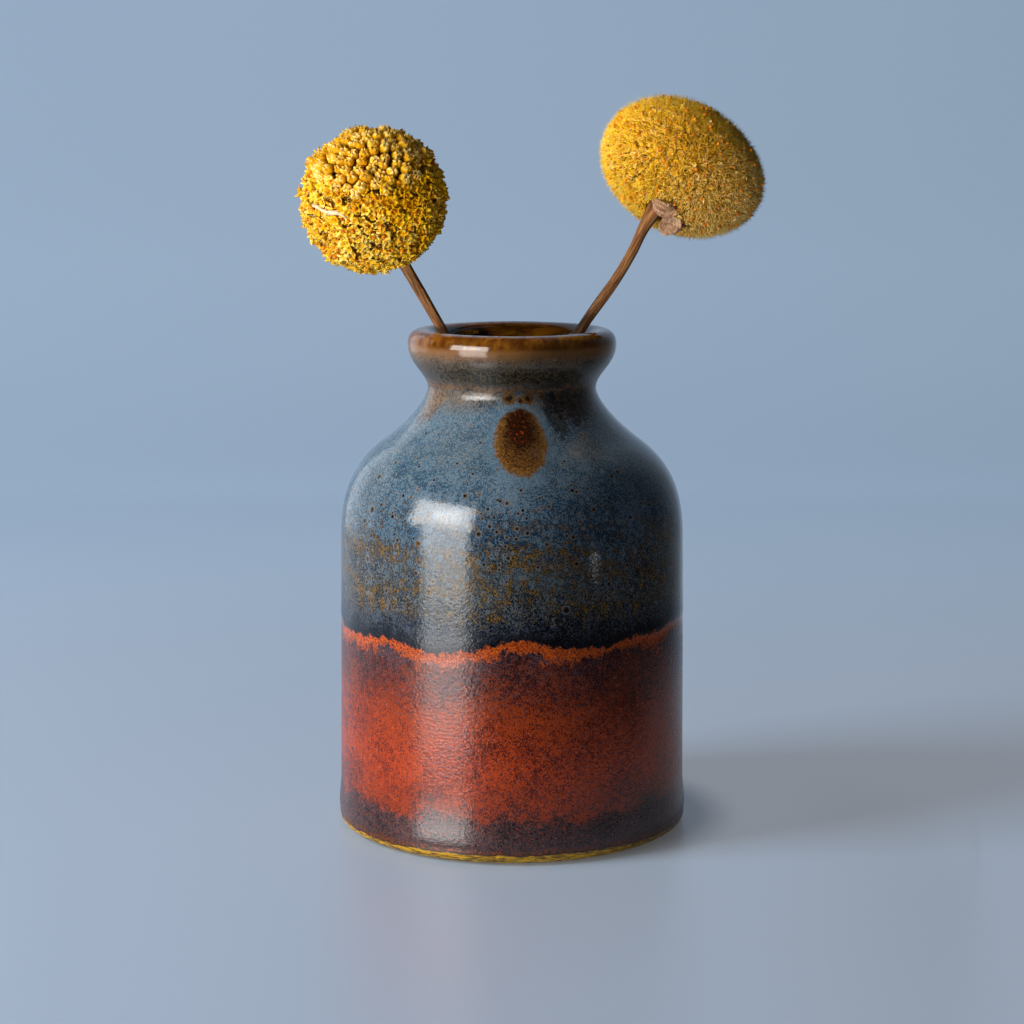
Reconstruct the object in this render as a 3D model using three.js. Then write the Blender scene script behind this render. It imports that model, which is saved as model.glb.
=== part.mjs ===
// Ceramic bud vase with two dried billy button flowers.
// Millimetres, +Z up. The origin is on the vase's axis, in the plane that its foot ring stands on.
// The flowers lean out along -X (left) and +X (right).
import * as THREE from 'three';

// ---- Vase: driving dimensions ----
const VASE_HEIGHT = 95;
const FOOT_RADIUS = 31.0;          // outer edge of the flat ring that the vase stands on
const FOOT_RING_WIDTH = 6.5;
const FOOT_RECESS = 1.2;           // hollow under the base, inside the foot ring
const SWELL_RADIUS = 33.5;         // slight swelling of the wall just above the foot
const BODY_RADIUS = 32.6;          // top of the straight wall
const SHOULDER_START = 56;         // height where the straight wall turns in
const SHOULDER_MID_RADIUS = 24.2;  // steepest point of the shoulder
const SHOULDER_MID_HEIGHT = 74;
const THROAT_RADIUS = 15.85;
const THROAT_HEIGHT = 83;
const LIP_RADIUS = 19.65;
const LIP_HEIGHT = 92.2;           // height of the lip's widest ring
const CREST_RADIUS = 16.9;         // ring along the top of the lip
const MOUTH_RADIUS = 13.3;
const MOUTH_HEIGHT = 90.5;
const THROAT_BORE = 12.4;
const CHAMBER_RADIUS = 28.9;
const FLOOR_THICKNESS = 4.8;
const FLOOR_CORNER = 4;
const VASE_SEGMENTS = 48;
const STEPS_PER_CURVE = 5;

// ---- Flowers: driving dimensions ----
const GAP = 0.3;                   // between pieces that touch
const STEM_SIDES = 10;
const STEM_STEPS = 36;
const HEAD_SEGMENTS = 24;
const BRACT_COUNT = 5;
const BRACT_THICKNESS = 0.4;

const flowers = [
  {
    side: 'left',
    stemRadius: 1.05,
    // From the foot on the chamber floor, past the lip, to the top inside the head.
    stemPath: [
      [25, -2.3, 6],
      [9.4, -2.3, 50],
      [-6.7, -2.3, 83],
      [-12.7, -2.3, 94.2],
      [-21.5, -4.2, 109.9],
    ],
    axis: [-0.40, -0.17, 0.90],
    headRadius: 13.75,
    crown: 13.75,                  // centre to the top of the head
    underside: 13.4,               // centre to the rim around the stem
    coreRadius: 9.8,
    coreHeight: 9.8,
    openingRadius: 3.4,
    bractBase: 13.2,               // centre down to the ring where the bracts start
    bractStart: 1.7,               // radius of that ring
    bractLength: 2.3,
    bractWidth: 1.8,
    bractRise: 58,                 // degrees that a bract rises from the ring towards the head
    colour: 0xe9b81c,
  },
  {
    side: 'right',
    stemRadius: 1.2,
    stemPath: [
      [-25, 2.4, 6],
      [-9.4, 2.4, 50],
      [6.7, 2.4, 83],
      [12.5, 2.7, 94.2],
      [25.2, 5.6, 113.4],
      [29, 7.7, 118],
    ],
    axis: [0.42, 0.47, 0.78],
    headRadius: 16.6,
    crown: 12.2,
    underside: 11.2,
    coreRadius: 12,
    coreHeight: 8.2,
    openingRadius: 5.2,
    bractBase: 11.9,
    bractStart: 2.4,
    bractLength: 4.8,
    bractWidth: 3.8,
    bractRise: 10,
    colour: 0xe0b416,
  },
];

const glaze = new THREE.MeshStandardMaterial({ color: 0x5b7f9e, roughness: 0.25, metalness: 0 });
const stalk = new THREE.MeshStandardMaterial({ color: 0x7d5636, roughness: 0.8, metalness: 0 });
const pith = new THREE.MeshStandardMaterial({ color: 0x6a4a1c, roughness: 0.9, metalness: 0 });
const husk = new THREE.MeshStandardMaterial({ color: 0x9a6f52, roughness: 0.85, metalness: 0 });

function namedMesh(name, geometry, material) {
  const mesh = new THREE.Mesh(geometry, material);
  mesh.name = name;
  return mesh;
}

// A lathe turns about +Y, so the result is laid over to turn about +Z.
function latheAboutZ(points, segments) {
  return new THREE.LatheGeometry(points, segments).rotateX(Math.PI / 2);
}

// Half section of the vase, from the axis under the base, up the outside, over the lip and down inside.
function vaseOutline() {
  const recessEdge = FOOT_RADIUS - FOOT_RING_WIDTH;
  const outline = new THREE.Path();
  outline.moveTo(0, FOOT_RECESS);
  outline.lineTo(recessEdge - FOOT_RECESS, FOOT_RECESS);
  outline.lineTo(recessEdge, 0);
  outline.lineTo(FOOT_RADIUS, 0);
  outline.bezierCurveTo(FOOT_RADIUS + 1.6, 0.3, SWELL_RADIUS, 1.6, SWELL_RADIUS, 3.4);
  outline.lineTo(SWELL_RADIUS - 0.4, 9);
  outline.lineTo(BODY_RADIUS, SHOULDER_START);
  outline.bezierCurveTo(BODY_RADIUS - 0.1, 66.2, 28.9, 70.5, SHOULDER_MID_RADIUS, SHOULDER_MID_HEIGHT);
  outline.bezierCurveTo(19.5, 77.5, THROAT_RADIUS, 79.8, THROAT_RADIUS, THROAT_HEIGHT);
  outline.bezierCurveTo(THROAT_RADIUS, 86.6, LIP_RADIUS, 88.6, LIP_RADIUS, LIP_HEIGHT);
  outline.bezierCurveTo(LIP_RADIUS, 94.2, CREST_RADIUS + 1.6, VASE_HEIGHT, CREST_RADIUS, VASE_HEIGHT);
  outline.bezierCurveTo(CREST_RADIUS - 1.8, VASE_HEIGHT, MOUTH_RADIUS, 93.6, MOUTH_RADIUS, MOUTH_HEIGHT);
  outline.lineTo(THROAT_BORE, THROAT_HEIGHT);
  outline.bezierCurveTo(THROAT_BORE, 78, 16.6, 75.6, 21.2, 72);
  outline.bezierCurveTo(26, 68.2, CHAMBER_RADIUS, 65, CHAMBER_RADIUS, SHOULDER_START);
  outline.lineTo(CHAMBER_RADIUS, FLOOR_THICKNESS + FLOOR_CORNER);
  outline.quadraticCurveTo(CHAMBER_RADIUS, FLOOR_THICKNESS, CHAMBER_RADIUS - FLOOR_CORNER, FLOOR_THICKNESS);
  outline.lineTo(0, FLOOR_THICKNESS);
  return outline.getPoints(STEPS_PER_CURVE);
}

function vaseBody() {
  return namedMesh('vase_body', latheAboutZ(vaseOutline(), VASE_SEGMENTS), glaze);
}

function stem(flower) {
  const section = new THREE.Shape();
  section.absarc(0, 0, flower.stemRadius, 0, 2 * Math.PI);
  const path = new THREE.CatmullRomCurve3(flower.stemPath.map((point) => new THREE.Vector3(...point)));
  const options = {
    steps: STEM_STEPS,
    curveSegments: STEM_SIDES / 2,
    bevelEnabled: false,
    extrudePath: path,
  };
  return namedMesh(`${flower.side}_stem`, new THREE.ExtrudeGeometry(section, options), stalk);
}

// One point of an egg-shaped section whose upper and lower halves have their own heights.
function headPoint(angle, radius, above, below) {
  const height = Math.sin(angle) > 0 ? above : below;
  return new THREE.Vector2(radius * Math.cos(angle), height * Math.sin(angle));
}

function receptacle(flower) {
  const points = [];
  const steps = 12;
  for (let i = 0; i <= steps; i += 1) {
    const angle = -Math.PI / 2 + (Math.PI * i) / steps;
    points.push(headPoint(angle, flower.coreRadius, flower.coreHeight, flower.coreHeight));
  }
  points[0].x = 0;
  points[steps].x = 0;
  return namedMesh(`${flower.side}_receptacle`, latheAboutZ(points, HEAD_SEGMENTS), pith);
}

// The mass of florets is a thick shell around the receptacle, open at the bottom for the stem.
function florets(flower) {
  const outer = [];
  const inner = [];
  const steps = 14;
  const outerStart = -Math.acos(flower.openingRadius / flower.headRadius);
  const innerStart = -Math.acos(flower.openingRadius / (flower.coreRadius + GAP));
  for (let i = 0; i <= steps; i += 1) {
    const t = i / steps;
    const outerAngle = outerStart + t * (Math.PI / 2 - outerStart);
    const innerAngle = innerStart + t * (Math.PI / 2 - innerStart);
    const core = flower.coreHeight + GAP;
    outer.push(headPoint(outerAngle, flower.headRadius, flower.crown, flower.underside));
    inner.push(headPoint(innerAngle, flower.coreRadius + GAP, core, core));
  }
  outer[steps].x = 0;
  inner[steps].x = 0;
  const points = [...inner.reverse(), ...outer];
  const material = new THREE.MeshStandardMaterial({ color: flower.colour, roughness: 0.95, metalness: 0 });
  return namedMesh(`${flower.side}_florets`, latheAboutZ(points, HEAD_SEGMENTS), material);
}

// A papery bract: a pointed leaf of even thickness that starts beside the stem and rises outwards.
function bract(flower, index) {
  const half = flower.bractWidth / 2;
  const belly = flower.bractLength * 0.45;
  const leaf = new THREE.Shape();
  leaf.moveTo(0, -half * 0.45);
  leaf.quadraticCurveTo(belly, -half * 1.5, flower.bractLength, 0);
  leaf.quadraticCurveTo(belly, half * 1.5, 0, half * 0.45);
  const geometry = new THREE.ExtrudeGeometry(leaf, {
    depth: BRACT_THICKNESS,
    curveSegments: 5,
    bevelEnabled: false,
  });
  const mesh = namedMesh(`${flower.side}_bract_${index + 1}`, geometry, husk);
  mesh.position.set(flower.bractStart, 0, -flower.bractBase);
  mesh.rotation.y = -THREE.MathUtils.degToRad(flower.bractRise);
  const turned = new THREE.Group();
  turned.rotation.z = (2 * Math.PI * index) / BRACT_COUNT;
  turned.add(mesh);
  return turned;
}

function flowerHead(flower) {
  const axis = new THREE.Vector3(...flower.axis).normalize();
  const top = new THREE.Vector3(...flower.stemPath.at(-1));
  const head = new THREE.Group();
  head.position.copy(top).addScaledVector(axis, flower.coreHeight + 2 * GAP);
  head.quaternion.setFromUnitVectors(new THREE.Vector3(0, 0, 1), axis);
  head.add(receptacle(flower), florets(flower));
  for (let i = 0; i < BRACT_COUNT; i += 1) {
    head.add(bract(flower, i));
  }
  return head;
}

const budVase = new THREE.Group();
budVase.add(vaseBody());
for (const flower of flowers) {
  budVase.add(stem(flower), flowerHead(flower));
}

export default budVase;
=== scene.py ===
"""Looks of a glazed bud vase with two dried billy button flowers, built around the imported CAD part.

Metres, +Z up, the vase's axis on Z. Lengths that are easier to read in millimetres are multiplied by MM.
"""
import math

import bpy
import numpy as np
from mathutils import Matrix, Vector


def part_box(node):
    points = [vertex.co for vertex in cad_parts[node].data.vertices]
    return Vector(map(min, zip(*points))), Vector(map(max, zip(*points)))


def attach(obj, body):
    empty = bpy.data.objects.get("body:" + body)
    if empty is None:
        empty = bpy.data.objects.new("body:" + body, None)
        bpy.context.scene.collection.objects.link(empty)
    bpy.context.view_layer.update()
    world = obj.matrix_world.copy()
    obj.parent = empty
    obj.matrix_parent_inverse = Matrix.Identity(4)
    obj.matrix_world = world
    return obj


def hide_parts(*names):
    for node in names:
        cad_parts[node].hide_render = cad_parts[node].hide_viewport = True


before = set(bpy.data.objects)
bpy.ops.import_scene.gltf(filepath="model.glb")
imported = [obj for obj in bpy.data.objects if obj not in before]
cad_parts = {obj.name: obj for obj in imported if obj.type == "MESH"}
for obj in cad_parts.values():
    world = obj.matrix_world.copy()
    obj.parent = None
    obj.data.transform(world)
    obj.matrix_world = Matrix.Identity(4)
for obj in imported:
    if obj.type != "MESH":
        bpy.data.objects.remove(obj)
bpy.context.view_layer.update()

MM = 0.001
RNG = np.random.default_rng(398)

# ---- Camera ----
CAMERA_DISTANCE = 0.4564
CAMERA_HEIGHT = 0.1343
CAMERA_PITCH = 9.26
CAMERA_LENS = 85

# ---- Stage and lights: angles from the camera's side of the vase to the right, in degrees ----
FLOOR_REACH = 0.9
BEND_START = 0.42
BEND_RADIUS = 0.35
BACKDROP_TOP = 1.2
FLOOR_COLOUR = (0.19, 0.29, 0.44)
BACKDROP_COLOUR = (0.20, 0.29, 0.42)
FLOOR_GLOW = (0.185, 0.185, 0.190)
BACKDROP_GLOW = (0.215, 0.275, 0.345)
# Painted shade in the glow: its strength by distance in mm, back along the floor and on up the backdrop,
# lowest near where the floor bends up.
PAINTED_GLOW_SHADE = [(-100, 1.0), (-33, 0.99), (49, 0.96), (105, 0.93), (173, 0.88), (259, 0.81), (373, 0.69),
            (470, 0.77), (525, 0.84), (600, 0.93), (700, 1.0)]
# A painted contact shadow: where the vase stands the glow falls to a share of itself, which rises to 1
# between two distances, in mm.
CONTACT_SHADOW_CENTRE = (5.0, 3.0)
CONTACT_SHADOW_REACH = (31.0, 41.0)
CONTACT_SHADOW_SHARE = 0.35
FLAG_DISTANCE = 0.09
FLAG_FOOT = 0.001
FLAG_HEIGHT = 0.5
FLAG_FROM, FLAG_TO = -16, 135
FLAG_FADE = 78                                  # from here on the card pales towards its far edge
ROOM_COLOUR = (0.6, 0.65, 0.7)
ROOM_STRENGTH = 0.03
# Lamps: azimuth, elevation, distance, size, radiance, colour, the rays that see it, the height it aims at.
LAMPS = {
    "key": (-70, 33, 0.8, (0.3, 0.3), 22.0, (1.0, 0.985, 0.96), "diffuse", 0.06),
    "front_fill": (-15, 35, 0.8, (0.4, 0.4), 0.66, (1.0, 0.99, 0.97), "diffuse", 0.06),
    "head_fill": (-30, -12, 0.45, (0.2, 0.05), 53.0, (1.0, 0.98, 0.94), "diffuse", 0.125),
    "left_card": (-125, 12, 0.4, (0.34, 0.34), 0.75, (0.97, 1.0, 1.0), "glossy", 0.06),
}
SOFTBOX_COLOUR = (1.0, 0.99, 0.97)
# The softbox's strips: azimuth, distance, width, from height, to height, radiance.
SOFTBOX_STRIPS = [
    (-47, 0.235, 0.185, 0.098, 0.200, 10.5),
    (-43.5, 0.233, 0.080, 0.116, 0.165, 6.2),
    (-42.3, 0.235, 0.125, 0.040, 0.098, 7.0),
    (-42.3, 0.235, 0.125, 0.002, 0.040, 5.8),
    (-36.0, 0.072, 0.034, 0.008, 0.031, 2.8),
    (-30.5, 0.047, 0.019, 0.0005, 0.0060, 6.0),
    (45, 0.080, 0.0025, 0.047, 0.0505, 6.0),
]

# ---- Vase outline, in mm, the same as the CAD's ----
VASE_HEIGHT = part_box("vase_body")[1].z / MM
FOOT_RADIUS = 31.0
FOOT_RECESS = 1.2
FOOT_RING_WIDTH = 6.5
SWELL_RADIUS = 33.5
BODY_RADIUS = 32.6
SHOULDER_START = 56
SHOULDER_MID = (24.2, 74)
THROAT = (15.85, 84.0)                 # the glaze gathers a little above the clay's own throat, at 83
LIP = (19.65, 92.2)
CREST_RADIUS = 16.9
MOUTH = (13.3, 90.5)
THROAT_BORE = 12.4
CHAMBER_RADIUS = 28.9
FLOOR_THICKNESS = 4.8
FLOOR_CORNER = 4
VASE_SEGMENTS = 240

# ---- Glaze, heights in mm ----
GLAZE_SPAN = (0, 96)
LINE_HEIGHT = 40.0                     # the orange line between the two glazes
# The line's waves round the vase: height, number of waves, and phase.
LINE_WAVES = [(0.50, 1, -0.1), (0.14, 2, 1.4), (0.5, 5, 1.3), (0.5, 7, -2.2), (0.48, 9, 1.9),
              (0.2, 17, 1.2)]
# Height and roughness: glossy above the line, satin below it and round the neck's dark band.
GLAZE_ROUGHNESS = [(0, 0.42), (2.4, 0.30), (6, 0.25), (36, 0.25), (40, 0.17), (60, 0.12), (81, 0.11),
                   (85, 0.28), (89, 0.30), (92, 0.10), (95, 0.08)]
# Height and share of the full depth of the glaze's orange-peel skin.
PEEL_DEPTH = [(0, 1.0), (36, 1.0), (40, 0.70), (55, 0.42), (62, 0.30), (80, 0.20), (95, 0.08)]
# Painted shade on the vase's right side, away from the key lamp: how far the glaze goes there towards a
# darker and browner tone.
SHADED_SIDE_DEPTH = 0.42
SHADED_SIDE_COLOUR = (0.008, 0.003, 0.002)
# Height, darker grains, lighter grains, stray grains, and the share of the lighter ones.
GLAZE_ZONES = [
    (0.0, (0.100, 0.040, 0.008), (0.420, 0.200, 0.015), (0.300, 0.060, 0.010), 0.50),
    (2.4, (0.026, 0.010, 0.007), (0.170, 0.050, 0.016), (0.340, 0.070, 0.010), 0.48),
    (3.4, (0.018, 0.008, 0.010), (0.125, 0.058, 0.056), (0.360, 0.070, 0.012), 0.47),
    (7.9, (0.018, 0.008, 0.010), (0.130, 0.060, 0.058), (0.400, 0.055, 0.008), 0.50),
    (9.2, (0.085, 0.013, 0.006), (0.500, 0.056, 0.003), (0.070, 0.036, 0.042), 0.58),
    (18.0, (0.140, 0.010, 0.001), (0.690, 0.070, 0.001), (0.050, 0.022, 0.022), 0.65),
    (27.0, (0.115, 0.011, 0.003), (0.570, 0.064, 0.001), (0.058, 0.028, 0.030), 0.58),
    (32.0, (0.050, 0.013, 0.013), (0.400, 0.052, 0.005), (0.100, 0.066, 0.080), 0.47),
    (38.5, (0.026, 0.011, 0.013), (0.250, 0.045, 0.018), (0.115, 0.075, 0.090), 0.42),
    (40.0, (0.004, 0.005, 0.008), (0.044, 0.055, 0.080), (0.120, 0.110, 0.100), 0.36),
    (44.5, (0.005, 0.009, 0.018), (0.085, 0.105, 0.145), (0.190, 0.160, 0.110), 0.38),
    (49.0, (0.010, 0.019, 0.030), (0.160, 0.180, 0.185), (0.330, 0.225, 0.100), 0.47),
    (55.0, (0.009, 0.032, 0.060), (0.160, 0.222, 0.262), (0.330, 0.215, 0.085), 0.46),
    (62.0, (0.011, 0.046, 0.094), (0.150, 0.250, 0.340), (0.290, 0.215, 0.140), 0.44),
    (70.0, (0.034, 0.092, 0.155), (0.185, 0.280, 0.365), (0.290, 0.260, 0.200), 0.47),
    (80.0, (0.055, 0.125, 0.195), (0.205, 0.300, 0.380), (0.290, 0.250, 0.180), 0.50),
    (84.0, (0.060, 0.066, 0.068), (0.220, 0.190, 0.155), (0.270, 0.160, 0.065), 0.50),
    (88.0, (0.060, 0.042, 0.028), (0.190, 0.135, 0.088), (0.270, 0.200, 0.110), 0.50),
    (91.5, (0.110, 0.066, 0.036), (0.280, 0.175, 0.095), (0.300, 0.220, 0.130), 0.50),
]
# Drips of darker glaze: azimuth in degrees from +X, height, half width, half height.
DRIPS = [(-85.9, 76.4, 5.0, 5.7), (38, 75.2, 4.2, 4.9), (152, 77.0, 3.4, 4.4)]
# Small rusty spots just below the throat: azimuth, height, radius.
THROAT_SPOTS = [(-92, 83.6, 1.15), (-84.5, 83.1, 0.6), (-79.5, 83.5, 1.05), (-70, 83.9, 0.6),
                (62, 83.8, 1.2), (171, 83.5, 1.0)]
# Brown smears over the throat: azimuth, half width in degrees, lowest height, darker and lighter grains.
SMEARS = [
    (-48, 26, 77.5, (0.022, 0.020, 0.018), (0.150, 0.085, 0.040)),
    (-152, 13, 77.0, (0.090, 0.050, 0.028), (0.310, 0.170, 0.075)),
    (-63, 8, 75.5, (0.016, 0.020, 0.024), (0.095, 0.085, 0.070)),
    (-110, 17, 81.2, (0.034, 0.030, 0.026), (0.230, 0.150, 0.080)),
    (68, 20, 79.0, (0.080, 0.045, 0.026), (0.280, 0.150, 0.060)),
    (135, 11, 78.0, (0.030, 0.024, 0.020), (0.170, 0.095, 0.045)),
]

# ---- Flowers, in mm, close to the CAD's ----
STEM_RADIUS = 1.0
STEM_LENGTH = 115                      # along this the bark's fibres are laid out
BRISTLE_WIDTH = 0.17
BRACT_THICKNESS = 0.16
UPPER_FRONT = np.array((-0.05, -0.487, 0.87))   # the side of the left head that closed buds cover
# flare widens the stem's top. radius, crown and underside are the head's half sizes, across and along its
# axis. slump lowers the crown on one side. opening is the radius of the hole that the stem goes in by.
# pale_side is where the paler florets face. bract_start and bract_base are how far out and how far down the
# bracts begin.
FLOWERS = {
    "left": {
        "stem_path": [(25, -2.3, 6), (9.4, -2.3, 50), (-6.7, -2.3, 83), (-12.7, -2.3, 94.2),
                      (-21.5, -4.2, 109.9)],
        "flare": 0.25,
        "axis": (-0.40, -0.17, 0.90),
        "radius": 13.1,
        "crown": 12.75,
        "underside": 12.8,
        "slump": 0.0,
        "opening": 2.6,
        "pale_side": (-0.55, -0.35, -0.76),
        "bract_start": 1.7,
        "bract_base": 13.2,
    },
    "right": {
        "stem_path": [(-25, 2.4, 6), (-9.4, 2.4, 50), (6.7, 2.4, 83), (12.9, 2.7, 94.2), (19.9, 4.1, 104.2),
                      (23.0, 4.9, 109.5), (25.1, 5.9, 113.8), (27.8, 7.4, 118)],
        "flare": 0.85,
        "axis": (0.42, 0.47, 0.78),
        "radius": 16.0,
        "crown": 10.6,
        "underside": 11.1,
        "slump": 0.10,
        "opening": 3.6,
        "pale_side": (0.70, -0.30, -0.65),
        "bract_start": 0.9,
        "bract_base": 11.9,
    },
}
# Bracts: degrees round the stem, length, width, rise and roll in degrees, curl, darker and lighter tone.
DARK_BRACT = ((0.075, 0.030, 0.014), (0.270, 0.135, 0.070))
BROWN_BRACT = ((0.230, 0.100, 0.050), (0.560, 0.330, 0.200))
PALE_BRACT = ((0.220, 0.115, 0.062), (0.500, 0.310, 0.190))
BRACTS = {
    "left": [(72 * turn, 2.3, 1.8, 58, 0, 0.16, BROWN_BRACT) for turn in range(5)],
    "right": [
        (351, 4.3, 4.8, -8, 104, 0.05, PALE_BRACT),
        (8, 4.6, 2.8, 16, 100, -0.10, DARK_BRACT),
        (146, 1.6, 1.8, 56, 0, 0.20, BROWN_BRACT),
        (214, 1.6, 1.8, 56, 0, 0.20, DARK_BRACT),
        (282, 5.2, 5.2, 9, 0, -0.12, BROWN_BRACT),
    ],
}
FLOWER_PIECES = bpy.data.collections.new("flower_pieces")


# ======================================================================== mesh helpers

def make_mesh(name, vertices, faces, attributes=None):
    """A mesh object from arrays in metres. attributes maps a name to one number per vertex."""
    mesh = bpy.data.meshes.new(name)
    mesh.from_pydata(np.asarray(vertices, float).tolist(), [], [tuple(face) for face in faces])
    for key, values in (attributes or {}).items():
        layer = mesh.attributes.new(key, "FLOAT", "POINT")
        layer.data.foreach_set("value", np.asarray(values, np.float32))
    mesh.polygons.foreach_set("use_smooth", [True] * len(mesh.polygons))
    mesh.update()
    piece = bpy.data.objects.new(name, mesh)
    bpy.context.scene.collection.objects.link(piece)
    return piece


def grid_faces(rows, columns, closed=True):
    """Quads over a grid of vertices numbered row by row. closed joins the last column to the first."""
    faces = []
    for i in range(rows - 1):
        for j in range(columns if closed else columns - 1):
            k = (j + 1) % columns
            faces.append((i * columns + j, i * columns + k, (i + 1) * columns + k, (i + 1) * columns + j))
    return faces


def bezier(p0, p1, p2, p3, steps):
    """Points of a cubic Bezier curve, without its last one."""
    t = np.linspace(0, 1, steps, endpoint=False)[:, None]
    p0, p1, p2, p3 = (np.array(p, float) for p in (p0, p1, p2, p3))
    return (1 - t) ** 3 * p0 + 3 * (1 - t) ** 2 * t * p1 + 3 * (1 - t) * t ** 2 * p2 + t ** 3 * p3


def line(p0, p1, steps):
    t = np.linspace(0, 1, steps, endpoint=False)[:, None]
    return (1 - t) * np.array(p0, float) + t * np.array(p1, float)


def catmull_rom(points, steps):
    """A centripetal Catmull-Rom curve through the points, evenly spaced along its length."""
    p = np.array(points, float)
    p = np.vstack([2 * p[0] - p[1], p, 2 * p[-1] - p[-2]])
    samples = []
    for i in range(1, len(p) - 2):
        a, b, c, d = p[i - 1:i + 3]
        t0 = 0
        t1 = t0 + np.linalg.norm(b - a) ** 0.5
        t2 = t1 + np.linalg.norm(c - b) ** 0.5
        t3 = t2 + np.linalg.norm(d - c) ** 0.5
        t = np.linspace(t1, t2, 60, endpoint=i == len(p) - 3)[:, None]
        ab = (t1 - t) / (t1 - t0) * a + (t - t0) / (t1 - t0) * b
        bc = (t2 - t) / (t2 - t1) * b + (t - t1) / (t2 - t1) * c
        cd = (t3 - t) / (t3 - t2) * c + (t - t2) / (t3 - t2) * d
        abc = (t2 - t) / (t2 - t0) * ab + (t - t0) / (t2 - t0) * bc
        bcd = (t3 - t) / (t3 - t1) * bc + (t - t1) / (t3 - t1) * cd
        samples.append((t2 - t) / (t2 - t1) * abc + (t - t1) / (t2 - t1) * bcd)
    curve = np.vstack(samples)
    length = np.concatenate([[0], np.cumsum(np.linalg.norm(np.diff(curve, axis=0), axis=1))])
    even = np.linspace(0, length[-1], steps)
    return np.stack([np.interp(even, length, curve[:, k]) for k in range(3)], 1)


def tube(path, radius_at, sides):
    """A closed tube along a path. radius_at(along 0..1, angles) gives the radius at each corner.

    Returns its vertices and faces, and for each vertex how far along and around it is.
    """
    path = np.array(path, float)
    tangent = np.gradient(path, axis=0)
    tangent /= np.linalg.norm(tangent, axis=1)[:, None]
    side = np.cross(tangent, (0.0, 1.0, 0.02))
    side /= np.linalg.norm(side, axis=1)[:, None]
    other = np.cross(tangent, side)
    angle = np.arange(sides) * 2 * math.pi / sides
    rings = []
    for i, centre in enumerate(path):
        radius = radius_at(i / (len(path) - 1), angle)[:, None]
        outward = np.cos(angle)[:, None] * side[i] + np.sin(angle)[:, None] * other[i]
        rings.append(centre + radius * outward)
    vertices = np.vstack(rings + [path[:1], path[-1:]])
    faces = grid_faces(len(path), sides)
    first, last = len(vertices) - 2, len(vertices) - 1
    for j in range(sides):
        k = (j + 1) % sides
        faces.append((first, k, j))
        faces.append((last, (len(path) - 1) * sides + j, (len(path) - 1) * sides + k))
    along = np.repeat(np.linspace(0, 1, len(path)), sides)
    around = np.tile(angle, len(path))
    return vertices, faces, np.append(along, (0, 1)), np.append(around, (0, 0))


def lathe_template(profile, segments, lobes=0, lobe_depth=0.0):
    """A shape turned about Z from points of (radius, height, frill) that start and end on the axis.

    frill says how much of the lobes' waves a ring takes.
    """
    angle = np.arange(segments) * 2 * math.pi / segments
    rings = []
    for radius, height, frill in profile[1:-1]:
        wave = 1 + lobe_depth * frill * np.cos(lobes * angle)
        rise = 0.12 * frill * np.cos(lobes * angle)
        flat = radius * wave
        rings.append(np.stack([flat * np.cos(angle), flat * np.sin(angle), height + rise], 1))
    vertices = np.vstack([[(0, 0, profile[0][1])], *rings, [(0, 0, profile[-1][1])]])
    faces = [(0, 1 + (j + 1) % segments, 1 + j) for j in range(segments)]
    faces += [tuple(1 + v for v in face) for face in grid_faces(len(rings), segments)]
    start, tip = 1 + (len(rings) - 1) * segments, len(vertices) - 1
    faces += [(tip, start + j, start + (j + 1) % segments) for j in range(segments)]
    return vertices, faces


def scatter(templates, picks, origins, normals, widths, heights, spins):
    """Copies of the templates, each with a place, direction, width, height and spin of its own."""
    normals = normals / np.linalg.norm(normals, axis=1)[:, None]
    helper = np.where(np.abs(normals[:, 2:3]) < 0.9, [[0.0, 0.0, 1.0]], [[1.0, 0.0, 0.0]])
    side = np.cross(helper, normals)
    side /= np.linalg.norm(side, axis=1)[:, None]
    other = np.cross(normals, side)
    turned = np.cos(spins)[:, None] * side + np.sin(spins)[:, None] * other
    crossed = np.cross(normals, turned)
    vertices, faces, owner, level, offset = [], [], [], [], 0
    for i, pick in enumerate(picks):
        shape, shape_faces = templates[pick]
        placed = (origins[i] + widths[i] * (shape[:, :1] * turned[i] + shape[:, 1:2] * crossed[i])
                  + heights[i] * shape[:, 2:] * normals[i])
        vertices.append(placed)
        faces += [tuple(offset + v for v in face) for face in shape_faces]
        owner.append(np.full(len(shape), i))
        level.append(shape[:, 2])
        offset += len(shape)
    return np.vstack(vertices), faces, np.concatenate(owner), np.concatenate(level)


def ripple(u, v, waves, strength, seed):
    """Smooth seeded unevenness over two coordinates: a sum of sine waves that closes over u = 0..2 pi."""
    random = np.random.default_rng(seed)
    total = np.zeros(np.broadcast(u, v).shape)
    for k in range(waves):
        around = random.integers(0, 3 + k)
        up = random.normal() * (0.03 + 0.02 * k)
        total += np.cos(around * u + up * v + random.uniform(0, 2 * math.pi)) / (1 + 0.5 * k)
    return strength * total / math.sqrt(waves)


# ======================================================================== node helpers

class Value:
    """A number, vector or colour that nodes work out. Python's own operators add Math nodes."""

    def __init__(self, graph, socket):
        self.graph = graph
        self.socket = socket

    def __add__(self, other):
        return self.graph.math("ADD", self, other)

    def __sub__(self, other):
        return self.graph.math("SUBTRACT", self, other)

    def __rsub__(self, other):
        return self.graph.math("SUBTRACT", other, self)

    def __mul__(self, other):
        return self.graph.math("MULTIPLY", self, other)

    def __truediv__(self, other):
        return self.graph.math("DIVIDE", self, other)

    def __pow__(self, other):
        return self.graph.math("POWER", self, other)

    __radd__ = __add__
    __rmul__ = __mul__

    def stretched(self, *factors):
        """A place with its coordinates multiplied. A factor below 1 draws a pattern out that way."""
        return self.graph.vector("MULTIPLY", self, factors)

    def moved(self, distance):
        return self.graph.vector("ADD", self, (distance, distance, distance))


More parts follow.
